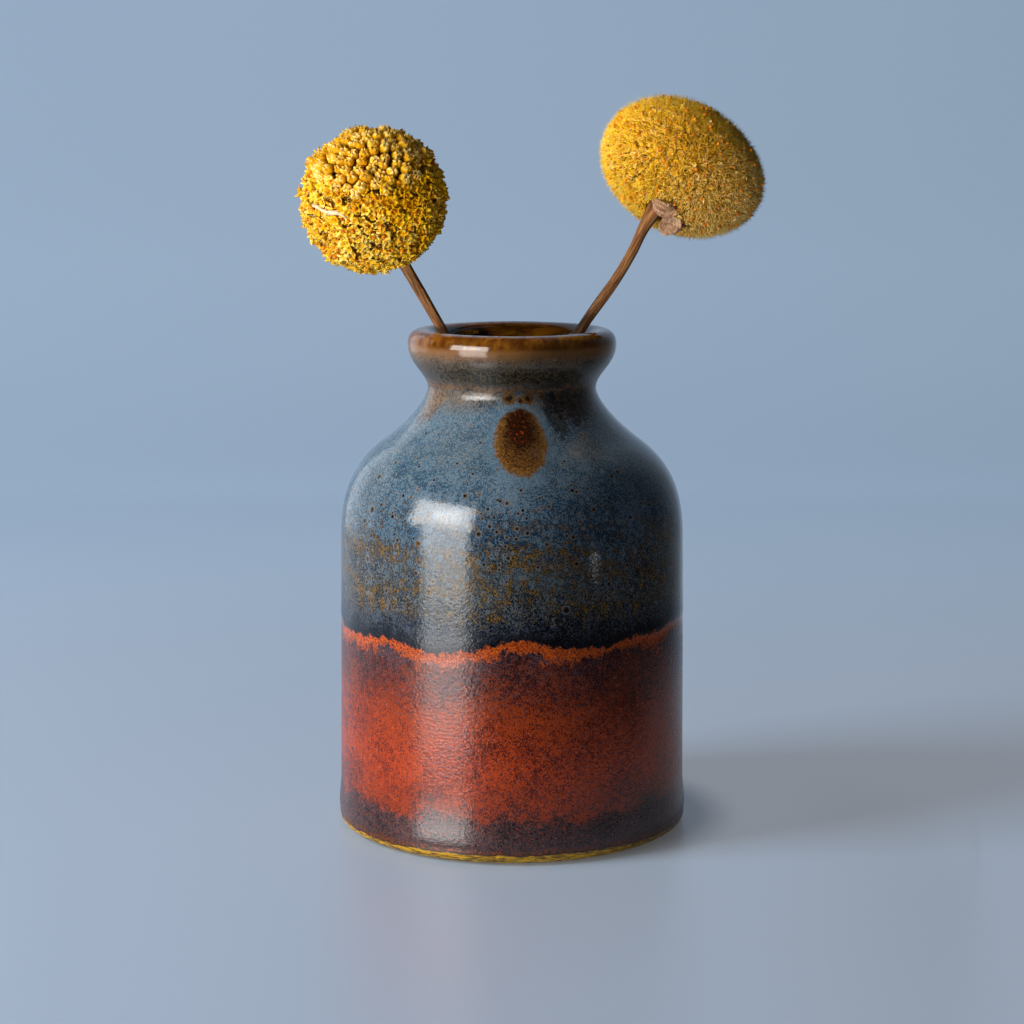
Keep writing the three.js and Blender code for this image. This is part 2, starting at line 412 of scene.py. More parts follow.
class Graph:
    """Short calls for building one material's nodes."""

    def __init__(self, name):
        self.material = bpy.data.materials.new(name)
        self.material.use_nodes = True
        self.tree = self.material.node_tree
        self.shader = self.tree.nodes["Principled BSDF"]

    def node(self, kind, **settings):
        node = self.tree.nodes.new(kind)
        for key, value in settings.items():
            setattr(node, key, value)
        return node

    def link(self, value, socket):
        """Sets a socket to a number or colour, or links a value to it."""
        if isinstance(value, Value):
            self.tree.links.new(value.socket, socket)
        elif isinstance(value, tuple) and socket.type == "RGBA":
            socket.default_value = (*value, 1)
        else:
            socket.default_value = value

    def math(self, operation, *operands, clamp=False):
        node = self.node("ShaderNodeMath", operation=operation, use_clamp=clamp)
        for value, socket in zip(operands, node.inputs):
            self.link(value, socket)
        return Value(self, node.outputs[0])

    def vector(self, operation, a, b):
        node = self.node("ShaderNodeVectorMath", operation=operation)
        self.link(a, node.inputs[0])
        self.link(b, node.inputs["Scale"] if operation == "SCALE" else node.inputs[1])
        return Value(self, node.outputs[0])

    def place(self):
        """Position in mm in the CAD frame, which moves with the piece."""
        coordinates = self.node("ShaderNodeTexCoord").outputs["Object"]
        return self.vector("SCALE", Value(self, coordinates), 1 / MM)

    def split(self, vector):
        node = self.node("ShaderNodeSeparateXYZ")
        self.link(vector, node.inputs[0])
        return [Value(self, output) for output in node.outputs]

    def join(self, x, y, z):
        node = self.node("ShaderNodeCombineXYZ")
        for value, socket in zip((x, y, z), node.inputs):
            self.link(value, socket)
        return Value(self, node.outputs[0])

    def attribute(self, name):
        return Value(self, self.node("ShaderNodeAttribute", attribute_name=name).outputs["Fac"])

    def noise(self, vector, size, detail=3.0, roughness=0.5, distortion=0.0):
        """Noise with features about size mm across, from 0 to 1."""
        node = self.node("ShaderNodeTexNoise")
        self.link(vector, node.inputs["Vector"])
        node.inputs["Scale"].default_value = 1 / size
        node.inputs["Detail"].default_value = detail
        node.inputs["Roughness"].default_value = roughness
        node.inputs["Distortion"].default_value = distortion
        return Value(self, node.outputs[0])

    def cells(self, vector, size):
        """Distance to the middle of a cell about size mm across, in cell sizes, and the cell's colour."""
        node = self.node("ShaderNodeTexVoronoi")
        self.link(vector, node.inputs["Vector"])
        node.inputs["Scale"].default_value = 1 / size
        return Value(self, node.outputs["Distance"]), Value(self, node.outputs["Color"])

    def step(self, value, low, high):
        """0 below low, 1 above high, smooth between. low may be above high."""
        node = self.node("ShaderNodeMapRange", interpolation_type="SMOOTHSTEP")
        self.link(value, node.inputs["Value"])
        self.link(low, node.inputs["From Min"])
        self.link(high, node.inputs["From Max"])
        return Value(self, node.outputs[0])

    def ramp(self, value, stops, span=GLAZE_SPAN):
        """Colours or greys along value, from stops of (place, colour), with places in the units of span."""
        low, high = span
        scaled = self.node("ShaderNodeMapRange")
        self.link(value, scaled.inputs["Value"])
        scaled.inputs["From Min"].default_value = low
        scaled.inputs["From Max"].default_value = high
        node = self.node("ShaderNodeValToRGB")
        self.tree.links.new(scaled.outputs[0], node.inputs[0])
        elements = node.color_ramp.elements
        while len(elements) < len(stops):
            elements.new(0.5)
        for element, (place, colour) in zip(elements, stops):
            element.position = (place - low) / (high - low)
            element.color = (*colour, 1) if isinstance(colour, tuple) else (colour, colour, colour, 1)
        return Value(self, node.outputs["Color"])

    def mix(self, amount, a, b):
        node = self.node("ShaderNodeMix", data_type="RGBA")
        self.link(amount, node.inputs["Factor"])
        self.link(a, node.inputs[6])
        self.link(b, node.inputs[7])
        return Value(self, node.outputs[2])

    def shade(self, colour, factor):
        """The colour times a number."""
        return self.vector("SCALE", colour, factor)

    def bump(self, height, distance):
        """The normal that a relief distance mm deep gives."""
        node = self.node("ShaderNodeBump")
        node.inputs["Strength"].default_value = 1.0
        node.inputs["Distance"].default_value = distance * MM
        self.link(height, node.inputs["Height"])
        return Value(self, node.outputs[0])

    def glow(self, colour, strength):
        self.link(colour, self.shader.inputs["Emission Color"])
        self.shader.inputs["Emission Strength"].default_value = strength

    def finish(self, colour, roughness, normal=None, specular=0.5):
        self.link(colour, self.shader.inputs["Base Color"])
        self.link(roughness, self.shader.inputs["Roughness"])
        self.shader.inputs["Specular IOR Level"].default_value = specular
        if normal is not None:
            self.link(normal, self.shader.inputs["Normal"])
        return self.material


# ======================================================================== vase

def vase_outline():
    """The closed half section, from the axis under the base, up the outside and down the inside, in mm."""
    recess_edge = FOOT_RADIUS - FOOT_RING_WIDTH
    wall_foot = (SWELL_RADIUS - 0.4, 9)
    top = (CREST_RADIUS, VASE_HEIGHT)
    floor_edge = (CHAMBER_RADIUS - FLOOR_CORNER, FLOOR_THICKNESS)
    parts = [
        line((0.001, FOOT_RECESS), (recess_edge - FOOT_RECESS, FOOT_RECESS), 8),
        line((recess_edge - FOOT_RECESS, FOOT_RECESS), (recess_edge, 0), 3),
        line((recess_edge, 0), (FOOT_RADIUS, 0), 4),
        bezier((FOOT_RADIUS, 0), (FOOT_RADIUS + 1.6, 0.3), (SWELL_RADIUS, 1.6), (SWELL_RADIUS, 3.4), 12),
        bezier((SWELL_RADIUS, 3.4), (SWELL_RADIUS, 5.2), (SWELL_RADIUS - 0.35, 7.4), wall_foot, 10),
        line(wall_foot, (BODY_RADIUS, SHOULDER_START), 80),
        bezier((BODY_RADIUS, SHOULDER_START), (BODY_RADIUS - 0.1, 66.2), (28.9, 70.5), SHOULDER_MID, 44),
        bezier(SHOULDER_MID, (19.5, 77.5), (THROAT[0], THROAT[1] - 2.1), THROAT, 36),
        bezier(THROAT, (THROAT[0], THROAT[1] + 2.6), (LIP[0], 88.6), LIP, 26),
        bezier(LIP, (LIP[0], 94.2), (CREST_RADIUS + 1.6, VASE_HEIGHT), top, 16),
        bezier(top, (CREST_RADIUS - 1.8, VASE_HEIGHT), (MOUTH[0], 93.6), MOUTH, 16),
        line(MOUTH, (THROAT_BORE, THROAT[1]), 12),
        bezier((THROAT_BORE, THROAT[1]), (THROAT_BORE, 78), (16.6, 75.6), (21.2, 72), 16),
        bezier((21.2, 72), (26, 68.2), (CHAMBER_RADIUS, 65), (CHAMBER_RADIUS, SHOULDER_START), 12),
        line((CHAMBER_RADIUS, SHOULDER_START), (CHAMBER_RADIUS, FLOOR_THICKNESS + FLOOR_CORNER), 16),
        bezier((CHAMBER_RADIUS, FLOOR_THICKNESS + FLOOR_CORNER), (CHAMBER_RADIUS, FLOOR_THICKNESS + 1.3),
               (CHAMBER_RADIUS - 1.3, FLOOR_THICKNESS), floor_edge, 6),
        line(floor_edge, (0.001, FLOOR_THICKNESS), 8),
        np.array([(0.001, FLOOR_THICKNESS)]),
    ]
    inside_from = sum(len(part) for part in parts[:11])
    return np.vstack(parts), inside_from


def line_wander(angle):
    """How far the orange line strays from its height, in mm, round the vase."""
    return sum(amplitude * np.cos(turns * angle + phase) for amplitude, turns, phase in LINE_WAVES)


def glaze_relief(angle, height, outer):
    """Thickness of the glaze over the CAD outline in mm: waves, a roll, drips and a foot bead."""
    relief = ripple(angle, height, 6, 0.07, 11) + ripple(angle, height * 3.2, 8, 0.028, 12)
    line_height = LINE_HEIGHT + line_wander(angle)
    above = height - line_height
    relief += 0.06 * np.exp(-((above - 1.3) / 1.4) ** 2) - 0.08 * np.exp(-((above + 0.6) / 0.7) ** 2)
    relief += 0.26 * np.exp(-((height - 1.2) / 0.8) ** 2) - 0.10 * np.exp(-((height - 2.9) / 0.5) ** 2)
    for azimuth, centre, half_width, half_height in DRIPS:
        turn = np.angle(np.exp(1j * (angle - math.radians(azimuth))))
        across = turn * outer / half_width
        down = (height - centre) / half_height
        relief += 0.30 * np.exp(-(across ** 2 + down ** 2) ** 1.5)
    return relief


def build_vase():
    outline, inside_from = vase_outline()
    rows = len(outline)
    angle = np.arange(VASE_SEGMENTS) * 2 * math.pi / VASE_SEGMENTS
    tangent = np.gradient(outline, axis=0)
    tangent /= np.linalg.norm(tangent, axis=1)[:, None]
    normal = np.stack([tangent[:, 1], -tangent[:, 0]], 1)
    radius, height = outline[:, 0:1], outline[:, 1:2]
    index = np.arange(rows)[:, None]
    # The base and the inside take no relief, and the inside's colour sets in just past the lip's crest.
    foot_rows = 15
    crest_rows = 13
    fade = np.clip((index - foot_rows) / 6, 0, 1) * np.clip((inside_from - index) / 10, 0, 1)
    relief = glaze_relief(angle[None, :], height, radius) * fade
    neck = np.clip((height - 60) / 35, 0, 1) * np.clip(radius / 12, 0, 1)
    oval = 0.12 * neck * np.cos(2 * angle + 0.7)[None, :]
    r = radius + normal[:, 0:1] * relief + oval
    z = height + normal[:, 1:2] * relief
    vertices = np.stack([r * np.cos(angle), r * np.sin(angle), z + 0 * r], 2).reshape(-1, 3) * MM
    inside = np.repeat(np.clip((np.arange(rows) - inside_from + crest_rows) / 5, 0, 1), VASE_SEGMENTS)
    faces = grid_faces(rows, VASE_SEGMENTS)
    bottom = tuple(reversed(range(VASE_SEGMENTS)))
    top = tuple(range((rows - 1) * VASE_SEGMENTS, rows * VASE_SEGMENTS))
    return make_mesh("glazed_vase", vertices, faces + [bottom, top], {"inside": inside})


def glaze_material():
    g = Graph("reactive_glaze")
    place = g.place()
    x, y, z = g.split(place)
    radius = g.math("SQRT", x * x + y * y)
    azimuth = g.math("ARCTAN2", y, x)
    grain = g.noise(place.stretched(1.0, 1.0, 0.85), 0.27, 2.0, 0.8)
    stray = g.noise(place.moved(40), 0.36, 1.0)
    middle = g.noise(place, 1.2, 3.0, 0.6, 0.4)
    broad = g.noise(place, 8.0, 3.0, 0.55)

    # The zones' borders wander, and dissolve into grains.
    height = z + 7.0 * (broad - 0.5) + 3.0 * (middle - 0.5) + 4.0 * (grain - 0.5)
    dark, light, accent, share = (
        g.ramp(height, [(zone[0], zone[k]) for zone in GLAZE_ZONES]) for k in range(1, 5))
    pick = share + 3.4 * (grain - 0.5) + 1.2 * (middle - 0.5) + 1.1 * (broad - 0.5)
    colour = g.mix(g.step(pick, 0.27, 0.73), dark, light)
    colour = g.mix(0.9 * g.step(stray, 0.60, 0.68), colour, accent)

    colour = tan_blotches(g, colour, place, z)
    colour = ringed_spots(g, colour, place, z)
    colour = orange_line(g, colour, place, z, azimuth)
    colour = throat_smears(g, colour, place, z, azimuth)
    colour = drips(g, colour, place, azimuth, radius, z)
    colour = lip_colours(g, colour, place, z)
    colour = foot_line(g, colour, place, z)
    colour = g.mix(g.attribute("inside"), colour, inside_colour_and_shade(g, place, x, z))
    # Painted shade: the glaze turns darker and browner over the right side, away from the key lamp.
    colour = g.mix(SHADED_SIDE_DEPTH * painted_side_shade(g, azimuth, z), colour, SHADED_SIDE_COLOUR)
    clay = g.math("MAXIMUM", g.step(z, 0.06, 0.0), under_foot(g, radius, z))
    colour = g.mix(clay, colour, bare_clay(g, place))

    roughness = g.ramp(z, GLAZE_ROUGHNESS) + 0.14 * (middle - 0.5) + 0.5 * clay
    peel = g.noise(place.stretched(0.8, 0.8, 1.25), 0.62, 1.5, 0.5)
    skin = (peel + 0.42 * g.noise(place, 0.36, 1.0)) * g.ramp(z, PEEL_DEPTH)
    return g.finish(colour, g.math("MAXIMUM", roughness, 0.06), g.bump(skin, 0.075))


def painted_side_shade(g, azimuth, z):
    """1 over the right side, where shade is painted into the glaze, which is wider below the orange line.
    """
    above = g.step(z, LINE_HEIGHT - 2, LINE_HEIGHT + 2)
    away = g.math("COSINE", azimuth + math.radians(20))
    return g.mix(above, g.step(away, 0.50, 0.95), g.step(away, 0.15, 0.80))


def tan_blotches(g, colour, place, z):
    """Level bands of ochre flecks, each with a darker brown edge, over the lower part of the blue."""
    level = g.noise(place.stretched(0.20, 0.20, 1.4), 4.0, 2.0, 0.5)
    zone = g.ramp(z, [(43, 0.0), (46, 0.85), (50, 0.8), (54, 0.55), (57, 0.85), (60, 0.45), (66, 0.12),
                      (72, 0.0)])
    ragged = g.noise(place.stretched(1.0, 1.0, 0.75), 1.15, 3.0, 0.78, 0.4)
    blotch = ragged + 0.42 * (level - 0.5) + 0.13 * zone
    grain = g.step(g.noise(place, 0.32, 2.0, 0.8), 0.41, 0.59)
    ochre = g.mix(grain, (0.045, 0.022, 0.006), (0.42, 0.235, 0.055))
    grey = g.mix(grain, (0.03, 0.035, 0.04), (0.25, 0.22, 0.17))
    ochre = g.mix(g.step(g.noise(place, 2.2, 2.0), 0.50, 0.60), ochre, grey)
    colour = g.mix(zone * g.step(blotch, 0.575, 0.60), colour, (0.022, 0.014, 0.010))
    return g.mix(zone * g.step(blotch, 0.605, 0.65), colour, ochre)


def ringed_spots(g, colour, place, z):
    """Small spots with a near-black heart, a brown ring and a pale rim, mostly on the lower shoulder."""
    zone = g.ramp(z, [(43, 0.0), (50, 0.5), (55, 0.85), (64, 0.95), (69, 0.6), (74, 0.18), (80, 0.03)])
    wobble = 0.5 * g.noise(place, 0.5, 2.0) + 0.75
    for spacing, smallest, spread in ((1.45, 0.14, 0.11), (3.1, 0.08, 0.10)):
        near, tint = g.cells(place, spacing)
        red, green, blue = g.split(tint)
        chosen = g.step(zone - red, 0.0, 0.03)
        reach = near * wobble / (green * green * spread + smallest)
        ring = g.mix(blue, (0.030, 0.018, 0.012), (0.24, 0.105, 0.020))
        colour = g.mix(0.55 * chosen * g.step(reach, 1.9, 1.4), colour, (0.24, 0.30, 0.34))
        colour = g.mix(chosen * g.step(reach, 1.3, 1.0), colour, ring)
        colour = g.mix(chosen * g.step(reach, 0.85, 0.5), colour, (0.008, 0.006, 0.006))
    return colour


def orange_line(g, colour, place, z, azimuth):
    """The bright jagged line where the blue glaze meets the red, and the near-black edge above it."""
    centre = LINE_HEIGHT
    for amplitude, turns, phase in LINE_WAVES:
        centre = centre + amplitude * g.math("COSINE", azimuth * turns + phase)
    off = z + 3.8 * (g.noise(place.stretched(1.0, 1.0, 0.8), 1.3, 4.0, 0.68) - 0.5) - centre
    ink_edge = g.noise(place.stretched(1.0, 1.0, 0.4), 2.2, 4.0, 0.65)
    ink = g.step(off, -0.1, 0.5) * g.step(off, 7.5 * ink_edge, 0.6)
    colour = g.mix(ink * (1.25 - 0.9 * g.noise(place, 0.34, 2.0, 0.8)), colour, (0.004, 0.005, 0.008))

    grain = g.step(g.noise(place, 0.32, 2.0, 0.8), 0.38, 0.60)
    other = g.noise(place.moved(9), 0.5, 2.0)
    grey = g.mix(grain, (0.030, 0.018, 0.022), (0.145, 0.105, 0.125))
    veil = g.step(g.noise(place.stretched(0.5, 0.5, 1.0), 3.2, 3.0), 0.44, 0.62)
    veil = veil * g.step(off, -7.5, -2.5) * g.step(off, 0.0, -0.4)
    colour = g.mix(0.8 * veil * g.step(other, 0.60, 0.46), colour, grey)

    tone = g.mix(grain, (0.26, 0.022, 0.002), (0.95, 0.165, 0.016))
    below = off / (0.60 - 3.8 * g.noise(place, 3.6, 2.0))
    above = g.step(off, 0.40, 0.05)
    colour = g.mix(0.75 * above * g.step(4.5 * other + below, 4.0, 3.5), colour, tone)
    return g.mix(above * g.step(below, 1.05, 0.70), colour, tone)


def throat_smears(g, colour, place, z, azimuth):
    """A speckled dark band round the neck, a thin rust line under it, and brown runs from the line."""
    run = g.noise(place.stretched(1.0, 1.0, 0.30), 2.6, 3.0, 0.6)
    _, tint = g.cells(place, 0.40)
    grain, other, _ = g.split(tint)
    wave = z + 2.4 * (run - 0.5)
    front = g.math("MULTIPLY_ADD", g.math("COSINE", azimuth + math.radians(84)), 0.62, 0.38, clamp=True)
    band = g.step(wave, 85.6, 86.6) * g.step(wave, 90.6, 88.4) * (0.85 * front + 0.1)
    fine = g.noise(place.stretched(1.0, 1.0, 0.8), 0.46, 2.0, 0.75)
    speckle = g.mix(g.step(fine, 0.46, 0.60), (0.010, 0.009, 0.006), (0.210, 0.140, 0.055))
    colour = g.mix(band, colour, speckle)
    colour = side_smears(g, colour, run, grain, z, azimuth)
    runs = g.step(z, 84.8 - 4.6 * g.step(run, 0.52, 0.70), 84.8) * g.step(wave, 86.0, 85.2)
    brown = g.mix(grain, (0.050, 0.022, 0.008), (0.27, 0.135, 0.040))
    colour = g.mix(runs * g.step(run, 0.50, 0.58), colour, brown)
    line = 0.8 * g.step(g.math("ABSOLUTE", wave - 85.1), 0.42, 0.15)
    return g.mix(line, colour, g.mix(other, (0.10, 0.045, 0.018), (0.36, 0.175, 0.06)))


def side_smears(g, colour, run, grain, z, azimuth):
    """Patches of brown that cover the throat and run down onto the shoulder."""
    for degrees, half_width, low, dark, light in SMEARS:
        aside = g.math("ABSOLUTE", turn_from(g, azimuth, degrees)) / math.radians(half_width)
        edge = g.step(aside + 2.0 * (run - 0.5), 1.15, 0.75)
        floor = aside * aside * 5.0 + low + 2.4 * (grain - 0.5)
        patch = edge * g.step(z, floor, floor + 2.2) * g.step(z, 87.0, 85.0)
        colour = g.mix(0.85 * patch, colour, g.mix(g.step(grain, 0.3, 0.9), dark, light))
    return colour


def turn_from(g, azimuth, degrees):
    """The angle from a direction round the vase, from -pi to pi."""
    return g.math("WRAP", azimuth - math.radians(degrees), math.pi, -math.pi)


def drips(g, colour, place, azimuth, radius, z):
    """Egg-shaped drips with a dark glassy heart and an ochre edge, and rusty spots under the throat."""
    ragged = 0.75 * (g.noise(place, 1.3, 4.0, 0.75) - 0.5)
    grain = g.step(g.noise(place, 0.42, 2.0, 0.8), 0.34, 0.66)
    glints = g.step(g.noise(place.moved(5), 0.6, 1.0), 0.62, 0.68)
    brown = g.mix(grain, (0.042, 0.015, 0.004), (0.240, 0.108, 0.026))
    ochre = g.mix(grain, (0.110, 0.046, 0.009), (0.345, 0.165, 0.038))
    dark = g.mix(grain, (0.012, 0.003, 0.001), (0.060, 0.018, 0.005))
    rust = g.mix(grain, (0.10, 0.045, 0.012), (0.22, 0.105, 0.028))
    for degrees, centre, half_width, half_height in DRIPS:
        down = (z - centre) / half_height
        taper = 1.0 - 0.16 * down
        across = turn_from(g, azimuth, degrees) * radius / (half_width * taper)
        edge = g.math("SQRT", down * down + across * across) + 0.55 * ragged
        heart_down = 0.86 * (down - 0.42)
        heart = g.math("SQRT", heart_down * heart_down + 0.95 * across * across)
        colour = g.mix(0.30 * g.step(edge, 1.45, 1.0), colour, (0.16, 0.27, 0.37))
        body = g.mix(g.step(edge, 0.62, 0.95), brown, ochre)
        middle = g.mix(glints * g.step(heart, 0.5, 0.2), dark, (0.50, 0.055, 0.010))
        body = g.mix(g.step(ragged + heart, 0.86, 0.34), body, middle)
        colour = g.mix(g.step(edge, 1.06, 0.88), colour, body)
    for degrees, centre, size in THROAT_SPOTS:
        across = turn_from(g, azimuth, degrees) * radius
        up = z - centre
        reach = g.math("SQRT", up * up + across * across) + 2.4 * ragged
        colour = g.mix(g.step(reach, size * 1.25, size * 0.75), colour, rust)
        colour = g.mix(g.step(reach, size * 0.62, size * 0.3), colour, (0.028, 0.010, 0.005))
    return colour


def lip_colours(g, colour, place, z):
    """Amber glass over the lip, dark where it is thick, with specks and a pale line along the crest that is
    a painted highlight.
    """
    streak = g.noise(place.stretched(1.0, 1.0, 0.35), 1.3, 4.0, 0.6)
    amber = g.mix(g.step(streak, 0.36, 0.66), (0.155, 0.042, 0.004), (0.34, 0.125, 0.012))
    amber = g.mix(0.6 * g.step(g.noise(place, 6.0, 3.0), 0.46, 0.66), amber, (0.085, 0.024, 0.004))
    near, tint = g.cells(place, 3.4)
    specks = g.step(near, 0.22, 0.10) * g.step(g.split(tint)[1], 0.62, 0.66)
    amber = g.mix(specks, amber, (0.028, 0.010, 0.004))
    under = 0.85 * g.step(z + 2.2 * (streak - 0.5), 89.9, 92.0)
    colour = g.mix(under, colour, g.mix(streak, (0.24, 0.088, 0.018), (0.46, 0.205, 0.060)))
    colour = g.mix(g.step(z + 1.2 * (streak - 0.5), 92.1, 93.0), colour, amber)
    # Painted highlight: a pale line along the crest.
    crest = g.step(z, VASE_HEIGHT - 0.22, VASE_HEIGHT - 0.06) * g.step(streak, 0.32, 0.6)
    return g.mix(0.6 * crest, colour, (0.46, 0.29, 0.15))


def foot_line(g, colour, place, z):
    """Glassy yellow ochre that ran down and pooled at the foot's edge, streaked with olive."""
    run = z + 1.2 * (g.noise(place, 3.0, 4.0, 0.6) - 0.5)
    drawn = g.noise(place.stretched(0.30, 0.30, 1.8), 0.6, 4.0, 0.7)
    tone = g.mix(g.step(drawn, 0.40, 0.58), (0.200, 0.080, 0.001), (0.98, 0.50, 0.002))
    olive = g.step(g.noise(place.stretched(0.30, 0.30, 1.2), 1.1, 3.0), 0.56, 0.66)
    tone = g.mix(0.7 * olive, tone, (0.230, 0.150, 0.004))
    grain = g.step(g.noise(place, 0.34, 2.0, 0.8), 0.42, 0.60)
    rust = g.mix(grain, (0.024, 0.008, 0.006), (0.42, 0.080, 0.006))
    colour = g.mix(g.step(run + 5.0 * g.noise(place, 0.7, 2.0), 5.4, 4.6), colour, rust)
    # Painted shade: a near-black line just above the bead, where the bead meets the body.
    colour = g.mix(0.7 * g.step(run, 2.35, 2.15), colour, (0.030, 0.014, 0.003))
    return g.mix(g.step(run, 2.05, 1.75), colour, tone)


def inside_colour_and_shade(g, place, x, z):
    """Inside the mouth: near-black amber on the left, golden olive on the right, partly glaze and partly
    painted light and shade from the key lamp, and painted shade further down.
    """
    streak = g.noise(place.stretched(0.30, 0.6, 1.3), 1.6, 5.0, 0.65)
    golden = g.mix(g.step(streak, 0.34, 0.62), (0.100, 0.030, 0.002), (0.46, 0.175, 0.006))
    dark = g.mix(g.step(streak, 0.42, 0.64), (0.008, 0.0015, 0.0005), (0.060, 0.016, 0.001))
    # Painted light and shade: the right inner wall, which faces the key lamp, goes golden and the left one
    # near-black.
    tone = g.mix(g.step(x + 8.0 * (streak - 0.5), -7.0, 7.0), dark, golden)
    # Painted shade: darker further down inside the vase.
    return g.mix(g.step(z, 88.0, 70.0), tone, (0.012, 0.005, 0.003))


def bare_clay(g, place):
    """Unglazed buff stoneware of the foot ring, with iron specks."""
    grit = g.step(g.noise(place, 0.35, 3.0, 0.7), 0.60, 0.68)
    clay = g.mix(g.noise(place, 2.5, 4.0, 0.6), (0.36, 0.27, 0.19), (0.52, 0.41, 0.30))
    return g.mix(grit, clay, (0.13, 0.07, 0.04))


def under_foot(g, radius, z):
    """1 over the recess under the base."""
    return g.step(radius, FOOT_RADIUS - 1.2, FOOT_RADIUS - 1.8) * g.step(z, 1.6, 1.3)


# ======================================================================== flowers

def head_frame(side):
    """Centre, in metres, and the three directions of a flower head, with its axis last."""
    low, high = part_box(f"{side}_receptacle")
    centre = np.array((low + high) / 2)
    axis = np.array(FLOWERS[side]["axis"], float)
    axis /= np.linalg.norm(axis)
    turn = Vector((0, 0, 1)).rotation_difference(Vector(axis)).to_matrix()
    return centre, np.array(turn)


def head_points(side, count, sink, wander):
    """Places, outward directions and unit directions over the head, in a sunflower spiral.

    sink moves the places inwards and wander shifts them along the skin, both in mm.
    """
    flower = FLOWERS[side]
    index = np.arange(count) + 0.5
    up = 2 * index / count - 1
    flat = np.sqrt(1 - up ** 2)
    angle = index * math.pi * (3 - math.sqrt(5))
    unit = np.stack([flat * np.cos(angle), flat * np.sin(angle), up], 1)
    unit = unit + RNG.normal(0, wander / flower["radius"], unit.shape)
    unit /= np.linalg.norm(unit, axis=1)[:, None]
    height = np.where(unit[:, 2] > 0, flower["crown"], flower["underside"])
    height = height * (1 - flower["slump"] * unit[:, 0] * (unit[:, 2] > 0))
    sizes = np.stack([np.full(count, flower["radius"]), np.full(count, flower["radius"]), height], 1)
    local = unit * sizes
    normal = local / sizes ** 2
    normal /= np.linalg.norm(normal, axis=1)[:, None]
    centre, turn = head_frame(side)
    return centre + (local - sink * normal) @ turn.T * MM, normal @ turn.T, unit


def around_opening(side, unit):
    """True for places clear of the hole that the stem goes in by."""
    flower = FLOWERS[side]
    spread = np.hypot(unit[:, 0], unit[:, 1]) * flower["radius"]
    return (unit[:, 2] > 0) | (spread > flower["opening"])


def jitter(normals, amount):
    bent = normals + RNG.normal(0, amount, normals.shape)
    return bent / np.linalg.norm(bent, axis=1)[:, None]


def bud_templates():
    """Closed buds: plump knobs with a puckered, slightly open top. Each variant has its own dents."""
    profile = [(0, 0, 0), (0.26, 0.02, 0), (0.42, 0.26, 0.1), (0.54, 0.50, 0.25), (0.55, 0.68, 0.5),
               (0.46, 0.85, 0.8), (0.30, 0.97, 1.2), (0.16, 1.0, 1.4), (0.08, 0.90, 0.6), (0, 0.84, 0)]
    templates = []
    for lobes in (5, 6, 5, 7, 4, 6):
        shape, faces = lathe_template(profile, 14, lobes, 0.15)
        dents = RNG.normal(0, 0.034, shape.shape)
        dents[shape[:, 2] < 0.2] = 0
        templates.append((shape + dents, faces))
    return templates


def cup_templates(profile, segments, lobe_depth, crumple):
    """Open florets: a tube that widens to a frilled rim and sinks to a hollow middle."""
    templates = []
    for lobes in (5, 5, 4, 5, 6):
        shape, faces = lathe_template(profile, segments, lobes, lobe_depth)
        creases = RNG.normal(0, crumple, shape.shape)
        creases[shape[:, 2] < 0.5] = 0
        templates.append((shape + creases, faces))
    return templates


def bead_template():
    profile = [(0, 0, 0), (0.42, 0.18, 0), (0.5, 0.5, 0), (0.36, 0.84, 0), (0, 1, 0)]
    return [lathe_template(profile, 6)]


def hair_template():
    """A bristle: a leaning three-sided spike."""
    shape = [(0.5, 0.0, 0.0), (-0.25, 0.43, 0.0), (-0.25, -0.43, 0.0), (1.4, 0.0, 1.0)]
    return [(np.array(shape), [(2, 1, 0), (0, 1, 3), (1, 2, 3), (2, 0, 3)])]


def add_scatter(name, side, templates, places, normals, width, height, width_spread, height_spread):
    """One mesh of many small copies, with mean width and height in mm and the relative spread of each.

    Each copy has a tone of its own and a paleness by where it sits, and each vertex its height in the copy.
    """
    count = len(places)
    picks = RNG.integers(0, len(templates), count)
    widths = width * MM * RNG.normal(1, width_spread, count).clip(0.6, 1.4)
    heights = height * MM * RNG.normal(1, height_spread, count).clip(0.6, 1.4)
    spins = RNG.uniform(0, 2 * math.pi, count)
    vertices, faces, owner, level = scatter(templates, picks, places, normals, widths, heights, spins)
    outward = places - head_frame(side)[0]
    outward /= np.linalg.norm(outward, axis=1)[:, None]
    pale = outward @ np.array(FLOWERS[side]["pale_side"]) + RNG.normal(0, 0.2, count)
    tone = RNG.uniform(0, 1, count)
    piece = make_mesh(name, vertices, faces, {"tone": tone[owner], "level": level, "pale": pale[owner]})
    FLOWER_PIECES.objects.link(piece)
    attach(piece, f"{side}_flower")
    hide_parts(f"{side}_florets")
    return piece


def floret_material(name, gap_shade, mid, light, tip, tip_from):
    """Matt petals: painted shade in the gaps at each floret's root, cream at frayed tips, paler on one
    side, a tone for each copy.
    """
    g = Graph(name)
    place = g.place()
    tone = g.attribute("tone")
    level = g.attribute("level")
    pale = g.step(g.attribute("pale"), 0.15, 0.85)
    mottle = g.noise(place, 0.5, 4.0, 0.65)
    cloud = g.noise(place, 5.0, 3.0)
    body = g.mix(0.7 * tone + 0.5 * mottle, mid, light)
    body = g.mix(0.06 * pale, body, tip)
    fleck = level + 2.2 * (mottle - 0.5) + 0.2 * (tone - 0.5) + 0.12 * pale + 0.5 * (cloud - 0.5)
    body = g.mix(g.step(fleck, tip_from, tip_from + 0.25), body, tip)
    # Painted shade in the gaps: each floret darkens towards its root.
    body = g.mix(g.step(level, 0.80, 0.30), body, gap_shade)
    normal = g.bump(g.noise(place, 0.25, 3.0, 0.7), 0.07)
    return g.finish(body, 0.2 * mottle + 0.75, normal, specular=0.08)


def plain_grain_material(name, dark, light, size, roughness):
    """Dry plant matter: two tones of grain with a rough skin."""
    g = Graph(name)
    grain = g.noise(g.place(), size, 5.0, 0.7)
    colour = g.mix(g.step(grain, 0.35, 0.65), dark, light)
    return g.finish(colour, 0.2 * grain + roughness, g.bump(grain, 0.08))


